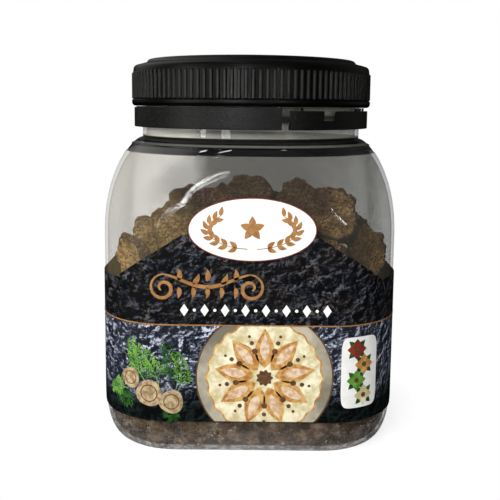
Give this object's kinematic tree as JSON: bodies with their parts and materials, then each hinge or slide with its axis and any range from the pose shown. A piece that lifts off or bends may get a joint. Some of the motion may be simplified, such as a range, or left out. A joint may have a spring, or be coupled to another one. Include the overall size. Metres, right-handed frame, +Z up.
{
  "type": "jar of dried truffle slices",
  "caption": "Clear squarish plastic jar with a black ribbed screw lid, black neck band and wrap label, filled with dried black truffle slices.",
  "frame": {"origin": "middle of the jar's base, on the surface that it stands on", "axes": "+Z up along the neck's axis, -Y out of the label's front, +X to the right as seen from the front"},
  "size_m": [0.1048, 0.1043, 0.136],
  "materials": {
    "jar_plastic": "clear, glossy blown plastic",
    "lid_plastic": "black, satin, glossy on the top's edge",
    "liner_foam": "white foam",
    "band_plastic": "black, satin",
    "label_film": "printed film, slate pattern",
    "dried_truffle": "dry, matt, marbled"
  },
  "bodies": {
    "jar": {"jar": "jar_plastic", "tamper_band": "band_plastic", "label": "label_film", "truffle_slices_01": "dried_truffle", "truffle_slices_02": "dried_truffle", "truffle_slices_03": "dried_truffle", "truffle_slices_04": "dried_truffle", "truffle_slices_05": "dried_truffle", "truffle_slices_06": "dried_truffle", "truffle_slices_07": "dried_truffle", "truffle_slices_08": "dried_truffle", "truffle_slices_09": "dried_truffle", "truffle_slices_10": "dried_truffle", "truffle_slices_11": "dried_truffle", "truffle_slices_12": "dried_truffle", "truffle_slices_13": "dried_truffle", "truffle_slices_14": "dried_truffle", "truffle_slices_15": "dried_truffle", "truffle_slices_16": "dried_truffle", "truffle_slices_17": "dried_truffle", "truffle_slices_18": "dried_truffle", "truffle_slices_19": "dried_truffle", "truffle_slices_20": "dried_truffle", "truffle_slices_21": "dried_truffle", "truffle_slices_22": "dried_truffle", "truffle_slices_23": "dried_truffle", "truffle_slices_24": "dried_truffle", "truffle_slices_25": "dried_truffle", "truffle_slices_26": "dried_truffle", "truffle_slices_27": "dried_truffle", "truffle_slices_28": "dried_truffle", "truffle_slices_29": "dried_truffle", "truffle_slices_30": "dried_truffle", "truffle_slices_31": "dried_truffle", "truffle_slices_32": "dried_truffle", "truffle_slices_33": "dried_truffle", "truffle_slices_34": "dried_truffle", "truffle_slices_35": "dried_truffle", "truffle_slices_36": "dried_truffle", "truffle_slices_37": "dried_truffle", "truffle_slices_38": "dried_truffle", "truffle_slices_39": "dried_truffle", "truffle_slices_40": "dried_truffle", "truffle_slices_41": "dried_truffle", "truffle_slices_42": "dried_truffle", "truffle_slices_43": "dried_truffle", "truffle_slices_44": "dried_truffle", "truffle_slices_45": "dried_truffle", "truffle_slices_46": "dried_truffle", "truffle_slices_47": "dried_truffle", "truffle_slices_48": "dried_truffle", "truffle_slices_49": "dried_truffle", "truffle_slices_50": "dried_truffle", "truffle_slices_51": "dried_truffle", "truffle_slices_52": "dried_truffle", "truffle_slices_53": "dried_truffle", "truffle_slices_54": "dried_truffle"},
    "liner": {"liner": "liner_foam"},
    "lid": {"lid": "lid_plastic"}
  },
  "joints": [
    {"name": "lid_rise", "type": "slide", "parent": "jar", "child": "liner", "axis": [0, 0, 1], "range_m": [0, 0.00501]},
    {"name": "lid_turn", "type": "hinge", "parent": "liner", "child": "lid", "pos_m": [0, 0, 0.125], "axis": [0, 0, 1], "range_deg": [0, 360]}
  ],
  "couplings": [
    {"joint": "lid_rise", "follows": "lid_turn", "m_per_rad": 0.00079577}
  ]
}
